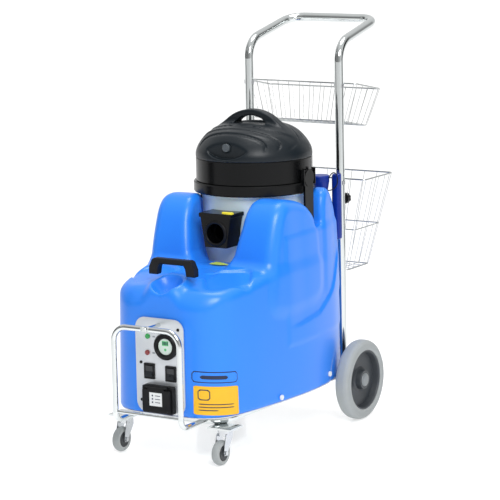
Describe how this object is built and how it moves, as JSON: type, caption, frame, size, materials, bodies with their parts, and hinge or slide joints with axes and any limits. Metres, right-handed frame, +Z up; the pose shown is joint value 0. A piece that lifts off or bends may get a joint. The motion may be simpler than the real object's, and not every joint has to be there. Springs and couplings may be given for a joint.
{
  "type": "carpet cleaner machine",
  "caption": "Wheeled carpet cleaner: moulded tank body with lift-out vacuum drum and suction head, control panel, chromed frame, push handle and wire baskets.",
  "frame": {"origin": "on the floor, under the middle of the machine's outer box", "axes": "+Z up, -Y front with the control panel, +Y rear with the push handle, +X the machine's own left when seen from behind the panel, which is the viewer's right from the front"},
  "size_m": [0.57, 1.138, 1.242],
  "materials": {
    "blue_plastic": "satin rotomoulded",
    "dark_blue_plastic": "satin",
    "chrome_tube": "polished chrome plate",
    "zinc_steel": "bright zinc",
    "stainless_steel": "brushed",
    "panel_aluminium": "satin anodised",
    "black_plastic": "fine texture",
    "black_steel": "black",
    "rocker_plastic": "satin",
    "lamp_green": "translucent lens",
    "lamp_red": "translucent lens",
    "gauge_glass": "clear window over a dial",
    "drum_plastic": "milky translucent",
    "yellow_plastic": "satin",
    "grey_plastic": "satin",
    "float_plastic": "satin",
    "filter_paper": "pleated paper",
    "wire_chrome": "chromed wire",
    "grey_rubber": "non-marking grey rubber",
    "rim_plastic": "satin",
    "cap_plastic": "satin"
  },
  "bodies": {
    "chassis": {"tank_body": "blue_plastic", "base_pan": "zinc_steel", "chassis_frame": "chrome_tube", "push_handle": "chrome_tube", "rear_axle": "chrome_tube", "axle_spacers": "chrome_tube", "front_guard": "chrome_tube", "guard_stay": "chrome_tube", "caster_heads": "zinc_steel", "body_bolts": "zinc_steel", "control_panel": "panel_aluminium", "panel_screws": "black_steel", "green_lamp": "lamp_green", "red_lamp": "lamp_red", "gauge_bezel": "black_plastic", "gauge_body": "gauge_glass", "switch_bezels": "black_plastic", "socket_box": "black_plastic", "control_box": "black_plastic", "lift_handle": "black_plastic", "filler_neck": "dark_blue_plastic", "upper_basket": "wire_chrome", "lower_basket": "wire_chrome", "basket_clips": "zinc_steel", "boiler": "stainless_steel", "pump": "zinc_steel"},
    "wheel_left": {"wheel_left_tyre": "grey_rubber", "wheel_left_rim": "rim_plastic", "wheel_left_cap": "cap_plastic"},
    "caster_left_swivel": {"caster_left_fork": "zinc_steel", "caster_left_bolt": "zinc_steel"},
    "caster_left_wheel": {"caster_left_tyre": "grey_rubber", "caster_left_core": "black_plastic"},
    "rocker_left": {"rocker_left": "rocker_plastic"},
    "clamp_knob_left": {"clamp_knob_left": "black_plastic"},
    "side_latch_left": {"side_latch_left": "black_plastic"},
    "wheel_right": {"wheel_right_tyre": "grey_rubber", "wheel_right_rim": "rim_plastic", "wheel_right_cap": "cap_plastic"},
    "caster_right_swivel": {"caster_right_fork": "zinc_steel", "caster_right_bolt": "zinc_steel"},
    "caster_right_wheel": {"caster_right_tyre": "grey_rubber", "caster_right_core": "black_plastic"},
    "rocker_right": {"rocker_right": "rocker_plastic"},
    "clamp_knob_right": {"clamp_knob_right": "black_plastic"},
    "side_latch_right": {"side_latch_right": "black_plastic"},
    "socket_lid": {"socket_lid": "black_plastic"},
    "filler_cap": {"filler_cap": "black_plastic"},
    "drum": {"recovery_drum": "drum_plastic", "drum_ring": "black_plastic", "inlet_box": "black_plastic"},
    "inlet_catch": {"inlet_catch": "yellow_plastic"},
    "motor_head": {"head_base": "black_plastic", "head_dome": "black_plastic", "suction_motor": "black_plastic", "filter_cartridge": "filter_paper", "float_cage": "black_plastic"},
    "head_button": {"head_button": "grey_plastic"},
    "fan": {"fan": "black_plastic"},
    "float_ball": {"float_ball": "float_plastic"}
  },
  "joints": [
    {"name": "wheel_left_spin", "type": "hinge", "parent": "chassis", "child": "wheel_left", "pos_m": [-0.26, 0.2365, 0.125], "axis": [1, 0, 0], "continuous": true},
    {"name": "caster_left_swivel", "type": "hinge", "parent": "chassis", "child": "caster_left_swivel", "pos_m": [-0.1765, -0.4225, 0.09], "axis": [0, 0, 1], "continuous": true},
    {"name": "caster_left_spin", "type": "hinge", "parent": "caster_left_swivel", "child": "caster_left_wheel", "pos_m": [-0.1765, -0.448, 0.0375], "axis": [1, 0, 0], "continuous": true},
    {"name": "rocker_left_tilt", "type": "hinge", "parent": "chassis", "child": "rocker_left", "pos_m": [-0.037, -0.4925, 0.27], "axis": [1, 0, 0], "range_deg": [0, 14]},
    {"name": "clamp_knob_left_turn", "type": "hinge", "parent": "chassis", "child": "clamp_knob_left", "pos_m": [-0.1645, 0.298, 0.681], "axis": [0, 1, 0], "range_deg": [0, 720]},
    {"name": "side_latch_left_swing", "type": "hinge", "parent": "drum", "child": "side_latch_left", "pos_m": [-0.188, 0.061, 0.806], "axis": [0, 1, 0], "range_deg": [0, 60]},
    {"name": "wheel_right_spin", "type": "hinge", "parent": "chassis", "child": "wheel_right", "pos_m": [0.26, 0.2365, 0.125], "axis": [1, 0, 0], "continuous": true},
    {"name": "caster_right_swivel", "type": "hinge", "parent": "chassis", "child": "caster_right_swivel", "pos_m": [0.1765, -0.4225, 0.09], "axis": [0, 0, 1], "continuous": true},
    {"name": "caster_right_spin", "type": "hinge", "parent": "caster_right_swivel", "child": "caster_right_wheel", "pos_m": [0.1765, -0.448, 0.0375], "axis": [1, 0, 0], "continuous": true},
    {"name": "rocker_right_tilt", "type": "hinge", "parent": "chassis", "child": "rocker_right", "pos_m": [0.038, -0.4925, 0.268], "axis": [1, 0, 0], "range_deg": [0, 14]},
    {"name": "clamp_knob_right_turn", "type": "hinge", "parent": "chassis", "child": "clamp_knob_right", "pos_m": [0.1645, 0.298, 0.681], "axis": [0, 1, 0], "range_deg": [0, 720]},
    {"name": "side_latch_right_swing", "type": "hinge", "parent": "drum", "child": "side_latch_right", "pos_m": [0.188, 0.061, 0.806], "axis": [0, 1, 0], "range_deg": [-60, 0]},
    {"name": "socket_lid_flip", "type": "hinge", "parent": "chassis", "child": "socket_lid", "pos_m": [0, -0.515, 0.23], "axis": [1, 0, 0], "range_deg": [-105, 0]},
    {"name": "filler_cap_lift", "type": "slide", "parent": "chassis", "child": "filler_cap", "axis": [0, 0, 1], "range_m": [0, 0.06]},
    {"name": "drum_lift", "type": "slide", "parent": "chassis", "child": "drum", "axis": [0, 0, 1], "range_m": [0, 0.32]},
    {"name": "inlet_catch_turn", "type": "hinge", "parent": "drum", "child": "inlet_catch", "pos_m": [0.054, -0.171, 0.695], "axis": [0, 0, 1], "range_deg": [-60, 0]},
    {"name": "motor_head_lift", "type": "slide", "parent": "drum", "child": "motor_head", "axis": [0, 0, 1], "range_m": [0, 0.2]},
    {"name": "head_button_press", "type": "slide", "parent": "motor_head", "child": "head_button", "axis": [0, 1, 0], "range_m": [0, 0.003], "stiffness_N_per_m": 400},
    {"name": "fan_spin", "type": "hinge", "parent": "motor_head", "child": "fan", "pos_m": [0, 0.053, 0.787], "axis": [0, 0, 1], "continuous": true},
    {"name": "float_rise", "type": "slide", "parent": "motor_head", "child": "float_ball", "axis": [0, 0, 1], "range_m": [0, 0.008]}
  ]
}
